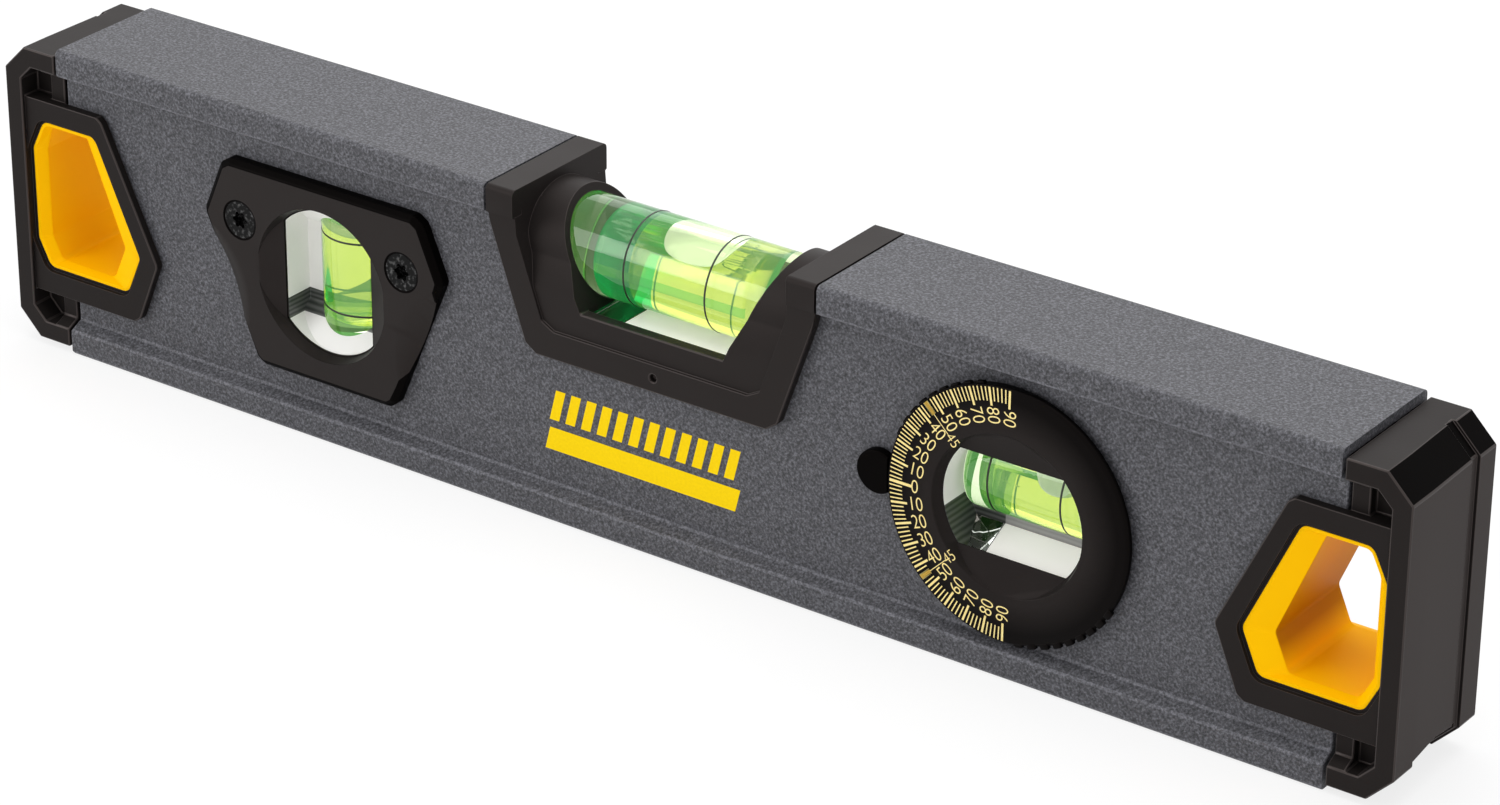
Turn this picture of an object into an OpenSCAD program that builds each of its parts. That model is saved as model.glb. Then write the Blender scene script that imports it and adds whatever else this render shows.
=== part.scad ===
// Torpedo spirit level: a hollow metal beam with end caps, a plumb vial, a level vial and a turning angle dial.
// The origin is at the middle of the underside. X runs along the beam, the front faces -Y and Z points up.

/* [Beam] */
// Length over both end caps
overall_length = 250; // [230:1:300]
// Height of the beam
beam_height = 52; // [51:0.5:60]
// Thickness of the beam over its flanges
beam_thickness = 22.8; // [21:0.2:28]
// Wall of the hollow beam
beam_wall = 1.8; // [1:0.1:2.2]
// Depth of the web below the flange faces
web_recess = 2.2; // [1.8:0.1:2.6]
// Height of the top flange face
top_flange = 4.3; // [3.5:0.1:6]
// Height of the slope under the top flange
top_slope = 1; // [0.8:0.1:1.5]
// Height of the bottom flange face
bottom_flange = 4.2; // [3.6:0.1:4.6]
// Height of the slope over the bottom flange
bottom_slope = 1.1; // [0.8:0.1:1.6]
// Rounding of the long edges
edge_round = 0.9; // [0.4:0.1:1.4]
// Width of the pipe groove in the underside
groove_width = 12.6; // [8:0.2:13]

/* [End caps] */
// Length of each cap beyond the beam's end
cap_reach = 10.9; // [9:0.1:13]
// Open line between the beam's end and the cap
cap_line = 0.5; // [0.2:0.1:1]
// Height left free above and below the cap
cap_drop = 1.1; // [0.4:0.1:2]
// Slanted corner of the cap
cap_bevel = 4.1; // [2.5:0.1:5]
// Depth of the shallow recess across the middle of the cap's end
end_recess = 0.3; // [0.1:0.05:0.5]
// Width of the upright rim at the cap's end
rim_width = 3.2; // [2.6:0.1:3.8]
// Width of the deep pockets beside the rim
pocket_width = 4.3; // [3:0.1:5]
// Depth of those pockets below the flange face
pocket_depth = 3.8; // [2.4:0.1:4.2]
// Step from the flange face down to the wing
wing_step = 0.7; // [0.4:0.1:1.2]
// Depth of the joint line between the front and rear shell
seam_depth = 0.3; // [0.1:0.05:0.5]
// Width of that joint line
seam_width = 1.8; // [1:0.1:1.9]
// Distance of that joint from the middle of the beam
seam_y = 6; // [5.6:0.1:6.2]
// Wall of the cap around the sleeve inside the beam
collar_wall = 1.6; // [1:0.1:1.8]

/* [Hanging sleeves] */
// Distance from the cap's end to the sleeve
sleeve_offset = 3.8; // [3.6:0.1:5]
// Length of the sleeve's mouth along the beam
sleeve_length = 21.5; // [18:0.5:23]
// Height of the sleeve's underside above the base
sleeve_bottom = 13.5; // [12.5:0.1:15]
// Height of the sleeve's mouth
sleeve_height = 24.9; // [22:0.2:26]
// Depth of the sleeve's mouth below the wing
sleeve_step = 0.7; // [0.5:0.1:1]
// Wall of the sleeve
sleeve_wall = 1; // [0.8:0.1:1.2]
// Rounding of the mouth's corners
mouth_round = 1.6; // [0.6:0.1:2]
// Open line between the wing and the sleeve
mouth_line = 0.6; // [0.4:0.1:1]
// Width of the slanted side of the mouth
funnel_width = 3.3; // [2:0.1:4]
// Depth of the slanted side of the mouth
funnel_depth = 1.4; // [0.8:0.1:2.2]

/* [Level vial] */
// Half width of the notch in the top flange
notch_half = 29.7; // [29.4:0.1:31]
// Half width of the housing at the top
housing_half = 29.3; // [28.5:0.1:29.3]
// Length of each end block of the housing along the beam
lip_length = 4.9; // [4:0.1:6]
// Height of the housing's lower edge
housing_bottom = 26.7; // [25:0.1:28]
// Sideways run of the housing's sides for each unit of height
side_slope = 0.354; // [0.3:0.002:0.4]
// Width of the raised border
border_width = 4.4; // [3.4:0.1:5]
// Height of the raised border above the web
border_raise = 1.7; // [1.2:0.1:1.9]
// Depth of the panel inside the border
panel_depth = 0.5; // [0.3:0.1:0.8]
// Width by which the border covers the web
border_cover = 1.6; // [1:0.1:2]
// Height of the level vial's axis
level_axis = 41.8; // [41:0.1:42.4]
// Radius of the level vial
level_radius = 7.3; // [6.4:0.1:7.4]
// Half length of the level vial
level_half = 19.8; // [18.5:0.1:20.5]
// Half length of its liquid chamber
level_chamber = 13.6; // [12:0.1:14.5]
// Distance between its two black rings
level_ring_gap = 14.6; // [11:0.2:17]
// Radius of the round bosses that hold its ends
boss_radius = 8.6; // [8.2:0.1:8.8]
// Height of the lower edge of the viewing cut
cut_bottom = 35.2; // [34.6:0.1:35.6]
// Half width of the viewing cut at its lower edge
cut_half = 12.9; // [11:0.1:14]
// Sideways run of the viewing cut's sides for each unit of height
cut_slope = 0.45; // [0.3:0.01:0.5]
// Length of the white strip under the vial
strip_length = 19.9; // [14:0.1:22]

/* [Plumb vial] */
// Distance of the plumb vial from the left end
plumb_offset = 63.4; // [62:0.1:65]
// Half length of its bezel
bezel_half = 23.4; // [22.8:0.1:24]
// Height of the bezel
bezel_height = 33.2; // [32:0.1:34]
// Rounding of the bezel's corners
bezel_round = 1.4; // [0.6:0.1:2]
// Slanted edge of the bezel
bezel_chamfer = 0.8; // [0.4:0.1:1.2]
// Radius of the round scoops at the bezel's sides
scoop_radius = 14.2; // [13.4:0.1:14.8]
// Radius of the carrier drum
drum_radius = 12.9; // [12.7:0.1:13]
// Distance of the screws from the middle
screw_spread = 15.85; // [15.6:0.05:16.4]
// Height of the screws above the middle of the plumb vial
screw_rise = 6.9; // [6.4:0.1:7.4]
// Radius of the screw heads
screw_head = 3; // [2.4:0.1:3.1]
// Radius of the screw shanks
screw_shank = 1.3; // [1.1:0.05:1.5]
// Radius of the plumb and angle vials
vial_radius = 7; // [6.4:0.1:7]
// Half length of the plumb and angle vials
vial_half = 10.2; // [9:0.1:10.3]
// Half length of their liquid chambers
vial_chamber = 8.2; // [7:0.1:8.4]
// Distance between their black rings
ring_gap = 12.1; // [9:0.1:13]
// Radius of a bezel's and of the dial's dished face
dish_radius = 12.5; // [12.2:0.1:12.8]
// Depth of the dished faces
dish_depth = 1.8; // [1.3:0.1:1.8]
// Radius of the windows
window_radius = 11.7; // [11:0.1:12]
// Half width of the plumb window
plumb_window = 8.4; // [7.8:0.1:8.8]

/* [Angle dial] */
// Distance of the dial from the right end
dial_offset = 62.8; // [62:0.1:64]
// Height of the dial's middle below the middle of the beam
dial_drop = 0.3; // [0:0.1:0.4]
// Radius of the dial
dial_radius = 19.8; // [18.5:0.1:19.8]
// Radius of the drum that turns in the bush
journal_radius = 15.1; // [14.8:0.1:15.4]
// Play of the drum in the bush
run_fit = 0.08; // [0.03:0.01:0.1]
// Wall of the bush
bush_wall = 1.3; // [1:0.1:1.6]
// Height of the grip lumps on the dial's edge
grip_height = 0.4; // [0.2:0.05:0.4]
// Number of grip lumps in each of the two groups
grip_count = 9; // [5:1:12]
// Half height of the angle window
angle_window = 7.5; // [6.8:0.1:8]
// Height of the angle vial above the dial's middle
angle_rise = 1.7; // [1:0.1:2]
// Radius of the pointer beside the dial
pointer_radius = 3.4; // [2.6:0.1:3.8]

/* [Hidden] */
$fn = 96;
eps = 0.01;
seat_fit = 0.05;
flange_y = beam_thickness / 2;
web_y = flange_y - web_recess;
hollow_y = web_y - beam_wall;
half_length = overall_length / 2;
beam_end = half_length - cap_reach;
groove_depth = groove_width / 2;
wing_y = flange_y - wing_step;
sleeve_y = wing_y - sleeve_step;
border_y = web_y + border_raise;
panel_y = border_y - panel_depth;
plumb_x = plumb_offset - half_length;
plumb_z = beam_height / 2 + 0.3;
screw_z = plumb_z + screw_rise;
dial_x = half_length - dial_offset;
dial_z = beam_height / 2 - dial_drop;
plug_fit = 0.02;
chamber_wall = 1.7;
ring_width = 0.45;
ring_depth = 0.25;
// The open pocket in the dial's drum, before and behind the angle vial
pocket_low = 9.6;
pocket_high = 8;
pocket_end = 3.2;
// The wedges that fill it under the vial: their heights, and how far they reach along the vial
wedge_low = 0.65;
wedge_high = 3.65;
wedge_left = 10.5;
wedge_split = 5.2;
wedge_right = 9;
cap_low = cap_drop;
cap_high = beam_height - cap_drop;

// Moves each side of a convex outline, listed counter-clockwise, inwards by d
function inset(p, d) = [for (i = [0:len(p) - 1])
    let (n = len(p), a = p[(i + n - 1) % n], b = p[i], c = p[(i + 1) % n],
        u = (b - a) / norm(b - a), v = (c - b) / norm(c - b),
        m = [-u[1], u[0]], k = [-v[1], v[0]])
    b + (m + k) * d / (1 + m * k)];

// Rounds each corner of an outline with radius r
function rounded(p, r, steps = 4) = [for (i = [0:len(p) - 1])
    let (n = len(p), b = p[i], a = p[(i + n - 1) % n] - b, c = p[(i + 1) % n] - b,
        u = a / norm(a), v = c / norm(c), w = u + v, s = sqrt((1 - u * v) / 2),
        middle = b + w / norm(w) * r / s, from = b + u * r * sqrt(1 / s / s - 1) - middle,
        to = b + v * r * sqrt(1 / s / s - 1) - middle)
    for (k = [0:steps]) let (d = from * (1 - k / steps) + to * k / steps) middle + d / norm(d) * r];

// Moves an outline inwards by d and rounds it
function inset_round(p, d, r) = rounded(inset(p, d), r);

// Completes an outline from its right half, listed from the bottom up
function mirrored(half) = concat(half, [for (i = [len(half) - 1:-1:0]) [-half[i][0], half[i][1]]]);

// Stands an outline in x and z upright, with its thickness from y0 to y1
module slab(y0, y1) {
    translate([0, y1, 0]) rotate([90, 0, 0]) linear_extrude(height = y1 - y0) children();
}

// Runs a section in y and z along the beam from x0 to x1
module along(x0, x1) {
    translate([x0, 0, 0]) rotate([90, 0, 90]) linear_extrude(height = x1 - x0) children();
}

module rod_y(r, y0, y1, r2 = 0) {
    translate([0, y0, 0]) rotate([-90, 0, 0]) cylinder(r1 = r, r2 = r2 > 0 ? r2 : r, h = y1 - y0);
}

module rod_x(r, x0, x1) {
    translate([x0, 0, 0]) rotate([0, 90, 0]) cylinder(r = r, h = x1 - x0);
}

module front_and_rear() {
    children();
    mirror([0, 1, 0]) children();
}

// Half of the beam's outer section, from the groove round to the top
top_k = top_slope / web_recess;
bottom_k = bottom_slope / web_recess;
flange_under = beam_height - top_flange;
slope_over = bottom_flange + bottom_slope;
inner_y = flange_y - beam_wall;
outer_half = concat(
    [[groove_width / 2, 0], [flange_y - edge_round / 2, 0], [flange_y, edge_round / 2],
        [flange_y, bottom_flange], [web_y, slope_over],
        [web_y, flange_under - top_slope], [flange_y, flange_under]],
    [for (a = [0:22.5:90]) [flange_y - edge_round + edge_round * cos(a),
        beam_height - edge_round + edge_round * sin(a)]]);
inner_half = [[groove_width / 2 + beam_wall * tan(22.5), beam_wall], [inner_y, beam_wall],
    [inner_y, bottom_flange + beam_wall * bottom_k - beam_wall * sqrt(1 + bottom_k * bottom_k)],
    [hollow_y, slope_over + beam_wall * bottom_k - beam_wall * sqrt(1 + bottom_k * bottom_k)],
    [hollow_y, flange_under - top_slope - beam_wall * top_k + beam_wall * sqrt(1 + top_k * top_k)],
    [inner_y, flange_under - beam_wall * top_k + beam_wall * sqrt(1 + top_k * top_k)],
    [inner_y, beam_height - beam_wall]];

// The channel between the flanges, in y and z, on one side of the beam
module channel() {
    polygon([[web_y, slope_over], [web_y, flange_under - top_slope], [flange_y, flange_under],
        [flange_y + 1, flange_under], [flange_y + 1, bottom_flange], [flange_y, bottom_flange]]);
}

// The sleeve's mouth in x and z at the right end, counter-clockwise
sleeve_out = half_length - sleeve_offset;
sleeve_in = sleeve_out - sleeve_length;
sleeve_top = sleeve_bottom + sleeve_height;
mouth = [[sleeve_in + 2.9, sleeve_bottom], [sleeve_out - 2.3, sleeve_bottom],
    [sleeve_out, sleeve_bottom + 4.5], [sleeve_out, sleeve_top - 4.9], [sleeve_out - 2.4, sleeve_top],
    [sleeve_in + 8.3, sleeve_top], [sleeve_in, sleeve_bottom + 6.7]];
mouth_inner = inset(mouth, sleeve_wall);
tunnel = [for (i = [0:6]) mouth_inner[i]
    + [i == 5 ? funnel_width - 0.8 : (i == 0 || i == 6) ? funnel_width : (i < 4) ? -0.7 : 0, 0]];

// The cap's wing in x and z at the right end, counter-clockwise
rim_in = half_length - rim_width;
wing_low = sleeve_bottom - 4.3;
wing_high = sleeve_top + 3.9;
wing_in = sleeve_in - 4.1;
wing_round = 1.4;
wing_sharp = [[wing_in + 5.2, wing_low], [rim_in + eps, wing_low], [rim_in + eps, wing_high],
    [sleeve_in + 7.2, wing_high], [sleeve_in + 6.2, wing_high - 0.7], [wing_in, sleeve_bottom + 6.4],
    [wing_in + 4.1, wing_low + 0.7]];
wing = concat([wing_sharp[0], wing_sharp[1], wing_sharp[2], wing_sharp[3]],
    [for (i = [20:34]) rounded(wing_sharp, wing_round)[i]]);

seam_start = seam_y - seam_width / 2;
seam_stop = seam_y + seam_width / 2;

function cap_points(reach) = [[beam_end + cap_line, cap_low], [reach - cap_bevel, cap_low],
    [reach, cap_low + cap_bevel], [reach, cap_high - cap_bevel], [reach - cap_bevel, cap_high],
    [beam_end + cap_line, cap_high]];

// The inner line of the rim, which follows the cap's slanted corners
rim_turn = cap_bevel + rim_width * (sqrt(2) - 1);
rim_low = cap_low + rim_turn;
rim_high = cap_high - rim_turn;
rim_line = [[0, 0], [rim_in - rim_low, 0], [rim_in, rim_low], [rim_in, rim_high],
    [rim_in - beam_height + rim_high, beam_height], [0, beam_height]];

// Both shells of the right cap in one
module cap_solid() {
    difference() {
        union() {
            slab(-flange_y, -seam_y) polygon(cap_points(half_length));
            hull() {
                slab(-seam_y - eps, -seam_y) polygon(cap_points(half_length));
                slab(-seam_y + end_recess, seam_start) polygon(cap_points(half_length - end_recess));
            }
            slab(seam_start - eps, seam_stop + eps)
                polygon(cap_points(half_length - end_recess - seam_depth));
            slab(seam_stop, flange_y) polygon(cap_points(half_length));
            intersection() {
                slab(-web_y, web_y) polygon(inset_round(mouth, -collar_wall, mouth_round + collar_wall));
                translate([0, -50, 0]) cube([beam_end + 5, 100, 100]);
            }
        }
        front_and_rear() intersection() {
            slab(0, flange_y + 1) polygon(rim_line);
            union() {
            along(0, half_length) channel();
            for (z = [[bottom_flange, wing_low], [wing_high, flange_under]])
                translate([rim_in - pocket_width, flange_y - pocket_depth, z[0]])
                    cube([pocket_width + rim_width, pocket_depth + 1, z[1] - z[0]]);
            }
        }
        along(0, half_length + 1) polygon([[-groove_width / 2, -1], [groove_width / 2, -1],
            [groove_width / 2, groove_depth - 0.3], [0, groove_depth + 0.5],
            [-groove_width / 2, groove_depth - 0.3]]);
        slab(-flange_y - 1, flange_y + 1) polygon(inset_round(mouth, -seat_fit, mouth_round + seat_fit));
    }
    front_and_rear() difference() {
        slab(web_y, wing_y) polygon(wing);
        slab(web_y - 1, flange_y + 1) polygon(inset_round(mouth, -seat_fit, mouth_round + seat_fit));
        slab(sleeve_y, flange_y + 1) polygon(inset_round(mouth, -mouth_line, mouth_round + mouth_line));
    }
}

module cap_front() {
    color("dimgray") intersection() {
        cap_solid();
        translate([0, seam_y - beam_thickness, -beam_height])
            cube([overall_length, beam_thickness, 3 * beam_height]);
    }
}

module cap_rear() {
    color("dimgray") intersection() {
        cap_solid();
        translate([0, seam_y, -beam_height])
            cube([overall_length, beam_thickness, 3 * beam_height]);
    }
}

module sleeve() {
    color("gold") difference() {
        slab(-sleeve_y, sleeve_y) polygon(rounded(mouth, mouth_round));
        slab(-sleeve_y - 1, sleeve_y + 1) polygon(rounded(tunnel, mouth_round - 0.4));
        front_and_rear() hull() {
            slab(sleeve_y, sleeve_y + 0.1) polygon(inset_round(mouth, sleeve_wall / 2, mouth_round - 0.3));
            slab(sleeve_y - funnel_depth, sleeve_y - funnel_depth + 0.1)
                polygon(rounded(tunnel, mouth_round - 0.4));
        }
    }
}

module right_cap_front() { cap_front(); }
module right_cap_rear() { cap_rear(); }
module left_cap_front() { mirror([1, 0, 0]) cap_front(); }
module left_cap_rear() { mirror([1, 0, 0]) cap_rear(); }
module right_sleeve() { sleeve(); }
module left_sleeve() { mirror([1, 0, 0]) sleeve(); }

// The housing's outline in x and z, and the line inside its border
function housing_x(z) = housing_half - 0.8 - (flange_under - 3.5 - z) * side_slope;
function housing(top) = mirrored([[housing_x(housing_bottom + 1.4) - 2, housing_bottom],
    [housing_x(housing_bottom + 1.4), housing_bottom + 1.4],
    [housing_half - 0.8, flange_under - 3.5], [housing_half, flange_under], [housing_half, top]]);
function border_inner(top) = mirrored([[housing_x(housing_bottom + 1.4) - 5.3, housing_bottom + border_width + 0.1],
    [housing_x(housing_bottom + 1.4) - 3.1, housing_bottom + border_width + 1.3],
    [housing_half - border_width - 0.8, flange_under - 2.8],
    [housing_half - lip_length, beam_height - 3.4], [housing_half - lip_length, top]]);

module beam() {
    color("slategray") difference() {
        along(-beam_end, beam_end) difference() {
            polygon(concat(mirrored(outer_half), [[-groove_width / 2, 0], [0, groove_depth]]));
            polygon(concat(mirrored(inner_half),
                [[0, groove_depth + beam_wall * sqrt(2)]]));
        }
        slab(-20, 20) polygon(inset(housing(beam_height + 5), border_cover));
        translate([-notch_half, -20, flange_under - top_slope - 0.1]) cube([2 * notch_half, 40, 20]);
        for (s = [0, 1]) mirror([s, 0, 0]) slab(-20, 20)
            polygon(inset_round(mouth, -collar_wall - seat_fit, mouth_round + collar_wall + seat_fit));
        translate([plumb_x, 0, plumb_z]) rod_y(drum_radius + 0.1, -20, 20);
        for (s = [-1, 1]) translate([plumb_x + s * screw_spread, 0, screw_z])
            rod_y(screw_shank + 0.3, -20, 20);
        translate([dial_x, 0, dial_z]) rod_y(journal_radius + run_fit + bush_wall + seat_fit, -20, 20);
    }
}

// A clear bar along X with its liquid chamber open at the right end and two grooves for the rings
module vial(radius, half, chamber, gap) {
    difference() {
        rod_x(radius, -half, half);
        rod_x(radius - chamber_wall, -chamber, half + 1);
        for (s = [-1, 1]) translate([s * gap / 2, 0, 0]) difference() {
            rod_x(radius + 1, -ring_width / 2, ring_width / 2);
            rod_x(radius - ring_depth, -ring_width, ring_width);
        }
    }
}

module rings(radius, gap) {
    for (s = [-1, 1]) translate([s * gap / 2, 0, 0]) difference() {
        rod_x(radius, -ring_width / 2 + eps, ring_width / 2 - eps);
        rod_x(radius - ring_depth + plug_fit, -ring_width, ring_width);
    }
}

module plug(radius, half, chamber) {
    rod_x(radius - chamber_wall - plug_fit, chamber, half);
}

// Liquid with the hollow that its bubble leaves
module liquid(radius, chamber, place, size) {
    difference() {
        rod_x(radius - chamber_wall - plug_fit, -chamber + plug_fit, chamber - plug_fit);
        translate(place) scale(size) sphere(r = 1, $fn = 40);
    }
}

module level_housing() {
    color("dimgray") difference() {
        union() {
            slab(-web_y, web_y) polygon(inset(housing(beam_height + border_cover + seat_fit), border_cover + seat_fit));
            front_and_rear() slab(web_y, border_y) polygon(housing(flange_under));
            for (s = [0, 1]) mirror([s, 0, 0]) along(housing_half - lip_length, housing_half)
                intersection() {
                    polygon(mirrored(outer_half));
                    translate([-20, flange_under - top_slope + 0.1]) square([40, 20]);
                }
        }
        intersection() {
            slab(-20, 20) polygon(border_inner(beam_height + 5));
            along(-40, 40) difference() {
                translate([-20, housing_bottom]) square([40, 40]);
                polygon([[-panel_y, 0], [panel_y, 0], [panel_y, level_axis - boss_radius / 2],
                    [boss_radius, level_axis], [-boss_radius, level_axis],
                    [-panel_y, level_axis - boss_radius / 2]]);
                translate([0, level_axis]) circle(r = boss_radius);
            }
        }
        slab(-20, 20) polygon([[-cut_half, cut_bottom], [cut_half, cut_bottom],
            [cut_half + 20 * cut_slope, cut_bottom + 20], [-cut_half - 20 * cut_slope, cut_bottom + 20]]);
        translate([-cut_half, -panel_y + 2, level_axis - level_radius - 1.8])
            cube([2 * cut_half, 2 * panel_y - 4, 5]);
        translate([0, 0, level_axis]) rod_x(level_radius + seat_fit, -level_half - seat_fit, level_half + seat_fit);
        translate([0.7, 0, 29]) rod_y(0.6, -border_y - 1, -border_y + 1);
    }
}

module level_vial() {
    color("lightcyan", 0.5) translate([0, 0, level_axis])
        vial(level_radius, level_half, level_chamber, level_ring_gap);
}

module level_liquid() {
    color("yellowgreen") translate([0, 0, level_axis])
        liquid(level_radius, level_chamber, [0.4, 0, level_radius - chamber_wall - 0.6], [6.2, 4.3, 2.6]);
}

module level_rings() {
    color("black") translate([0, 0, level_axis]) rings(level_radius, level_ring_gap);
}

module level_plug() {
    color("lightcyan") translate([0, 0, level_axis]) plug(level_radius, level_half, level_chamber);
}

// The clear block and the white strip fill the trough under the vial
module trough(x0, x1) {
    translate([x0, -panel_y + 2.05, level_axis - level_radius - 1.75])
        cube([x1 - x0, 2 * panel_y - 4.1, 1.7]);
}

module level_strip() {
    color("white") trough(cut_half - strip_length, cut_half - seat_fit);
}

module level_block() {
    color("lightcyan") trough(-cut_half + seat_fit, cut_half - strip_length - seat_fit);
}

// The bezel's outline in x and z about its own middle
bezel_top = plumb_z + bezel_height / 2 - 0.1;
bezel_outline = mirrored([[bezel_half * 0.535, bezel_top - bezel_height],
    [bezel_half * 0.59, bezel_top - bezel_height * 0.973], [bezel_half, bezel_top - bezel_height * 0.295],
    [bezel_half * 0.842, bezel_top - bezel_height * 0.033], [bezel_half * 0.77, bezel_top]]);

// A round window through a face, clipped above and below, with its dish sloping in from the face
module window(half) {
    slab(-flange_y + dish_depth - 1, -web_y + 1) intersection() {
        circle(r = window_radius);
        square([2 * window_radius + 1, 2 * half], center = true);
    }
    intersection() {
        rod_y(dish_radius, -flange_y - 0.02, -flange_y + dish_depth, r2 = window_radius + 0.2);
        along(-20, 20) polygon([[-flange_y - 0.1, -dish_radius], [-flange_y + dish_depth + 0.1, -half],
            [-flange_y + dish_depth + 0.1, half], [-flange_y - 0.1, dish_radius]]);
    }
}

module bezel() {
    difference() {
        union() {
            slab(-flange_y + bezel_chamfer, -web_y) polygon(rounded(bezel_outline, bezel_round, 2));
            hull() {
                slab(-flange_y + bezel_chamfer, -flange_y + bezel_chamfer + 0.1)
                    polygon(rounded(bezel_outline, bezel_round, 2));
                slab(-flange_y, -flange_y + 0.1) polygon(inset_round(bezel_outline, bezel_chamfer, bezel_round / 2));
            }
        }
        for (s = [-1, 1]) translate([s * bezel_half * 1.214, 0, plumb_z - bezel_height * 0.22])
            rod_y(scoop_radius, -flange_y - eps, -web_y + eps, r2 = scoop_radius * 0.637);
        translate([0, 0, plumb_z]) rotate([0, 90, 0]) window(plumb_window);
    }
}

screw_cone = 1.7;

module plumb_bezel_front() {
    color("dimgray") translate([plumb_x, 0, 0]) difference() {
        bezel();
        for (s = [-1, 1]) translate([s * screw_spread, 0, screw_z]) {
            rod_y(screw_shank + seat_fit, -20, 0);
            rod_y(screw_head + 0.1, -flange_y - eps, -flange_y + screw_cone, r2 = screw_shank + 0.1);
        }
    }
}

module plumb_bezel_rear() {
    color("dimgray") translate([plumb_x, 0, 0]) difference() {
        mirror([0, 1, 0]) bezel();
        for (s = [-1, 1]) translate([s * screw_spread, 0, screw_z])
            rod_y(screw_shank + plug_fit, 0, flange_y - 0.8);
    }
}

// Each screw has a six-pointed socket in its head
module plumb_screws() {
    color("silver") for (s = [-1, 1]) translate([plumb_x + s * screw_spread, 0, screw_z]) difference() {
        union() {
            rod_y(screw_shank, -flange_y + 0.5, flange_y - 0.9);
            rod_y(screw_head, -flange_y + 0.1, -flange_y + screw_cone, r2 = screw_shank);
        }
        for (a = [0:60:300]) rotate([0, a, 0]) translate([1.05, 0, 0])
            rod_y(0.35, -flange_y - 1, -flange_y + 1.3);
        rod_y(1.05, -flange_y - 1, -flange_y + 1.3);
    }
}

module plumb_carrier() {
    color("whitesmoke") translate([plumb_x, 0, plumb_z]) difference() {
        rod_y(drum_radius, -web_y, web_y);
        cylinder(r = vial_radius + seat_fit, h = 2 * vial_half + 0.1, center = true);
        front_and_rear() intersection() {
            translate([-plumb_window, -web_y - 1, -20]) cube([2 * plumb_window, web_y + 1, 40]);
            rod_y(window_radius, -web_y - 1, 0);
            along(-20, 20) polygon([[-web_y - 1, -window_radius - 1], [-web_y + 5, -window_radius + 5],
                [-web_y + 5, window_radius - 5], [-web_y - 1, window_radius + 1]]);
        }
    }
}

// Turns a vial that lies along X upright, with its plug at the top
module upright() {
    translate([plumb_x, 0, plumb_z]) rotate([0, -90, 0]) children();
}

module plumb_vial() {
    color("lightcyan", 0.5) upright() vial(vial_radius, vial_half, vial_chamber, ring_gap);
}

module plumb_liquid() {
    color("yellowgreen") upright()
        liquid(vial_radius, vial_chamber, [vial_chamber, 0, 0], [2.4, 4.6, 4.6]);
}

module plumb_rings() {
    color("black") upright() rings(vial_radius, ring_gap);
}

module plumb_plug() {
    color("lightcyan") upright() plug(vial_radius, vial_half, vial_chamber);
}

module dial_bush() {
    color("dimgray") translate([dial_x, 0, dial_z]) difference() {
        rod_y(journal_radius + run_fit + bush_wall, -web_y, web_y);
        rod_y(journal_radius + run_fit, -web_y - 1, web_y + 1);
    }
}

// One pointer stands beside the dial on each face of the beam
module dial_pointers() {
    color("black") front_and_rear() translate([dial_x - dial_radius - pointer_radius + 0.9, 0, dial_z])
        difference() {
            rod_y(pointer_radius, web_y, flange_y - 0.6);
            translate([pointer_radius - 1.5, 0, -10]) cube([10, 20, 20]);
        }
}

// The dial's face with its rounded rim; the thin rim passes over the beam's lower slope
module dial_face() {
    difference() {
        union() {
            rotate([90, 0, 0]) translate([0, 0, web_y + 0.3]) rotate_extrude() polygon([[0, 0],
                [journal_radius + 1.5, 0], [journal_radius + 1.9, 0.6], [dial_radius - 0.2, 0.6],
                [dial_radius, 0.8], [dial_radius, 1.15], [dial_radius - 0.35, 1.6],
                [dial_radius - 1.2, web_recess - 0.3], [0, web_recess - 0.3]]);
            for (g = [105, 277]) for (i = [0:grip_count - 1]) rotate([0, -g - i * 6.5, 0])
                translate([dial_radius - 0.5, -flange_y + 0.43, -0.6])
                    cube([0.5 + grip_height, 0.58, 1.2]);
        }
        window(angle_window);
    }
}

module dial_face_front() {
    color("black") translate([dial_x, 0, dial_z]) dial_face();
}

module dial_face_rear() {
    color("black") translate([dial_x, 0, dial_z]) mirror([0, 1, 0]) dial_face();
}

module dial_carrier() {
    color("whitesmoke") translate([dial_x, 0, dial_z]) difference() {
        rod_y(journal_radius, -web_y - 0.3, web_y + 0.3);
        translate([0, 0, angle_rise]) rod_x(vial_radius + seat_fit, -vial_half - seat_fit, vial_half + seat_fit);
        front_and_rear() intersection() {
            rod_y(window_radius, -web_y - 1, 0);
            translate([-dial_radius, -web_y - 1, -pocket_low])
                cube([2 * dial_radius, web_y + 1 - pocket_end, pocket_low + pocket_high]);
        }
    }
}

module angle_place() {
    translate([dial_x, 0, dial_z + angle_rise]) children();
}

module angle_vial() {
    color("lightcyan", 0.5) angle_place() vial(vial_radius, vial_half, vial_chamber, ring_gap);
}

module angle_liquid() {
    color("yellowgreen") angle_place()
        liquid(vial_radius, vial_chamber, [3.2, 0, vial_radius - chamber_wall - 0.6], [4.9, 4.1, 2.8]);
}

module angle_rings() {
    color("black") angle_place() rings(vial_radius, ring_gap);
}

module angle_plug() {
    color("lightcyan") angle_place() plug(vial_radius, vial_half, vial_chamber);
}

// Wedges under the angle vial, in front and behind
module wedge(x0, x1) {
    translate([dial_x, 0, dial_z]) front_and_rear() along(x0, x1)
        polygon([[-web_y - 0.1, seat_fit - pocket_low], [-pocket_end - seat_fit, seat_fit - pocket_low],
            [-pocket_end - seat_fit, seat_fit - pocket_low + wedge_high],
            [-web_y - 0.1, seat_fit - pocket_low + wedge_low]]);
}

module angle_strip() {
    color("white") intersection() {
        wedge(-wedge_split, wedge_right);
        translate([dial_x, 0, dial_z]) rod_y(window_radius - seat_fit, -flange_y, flange_y);
    }
}

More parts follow.
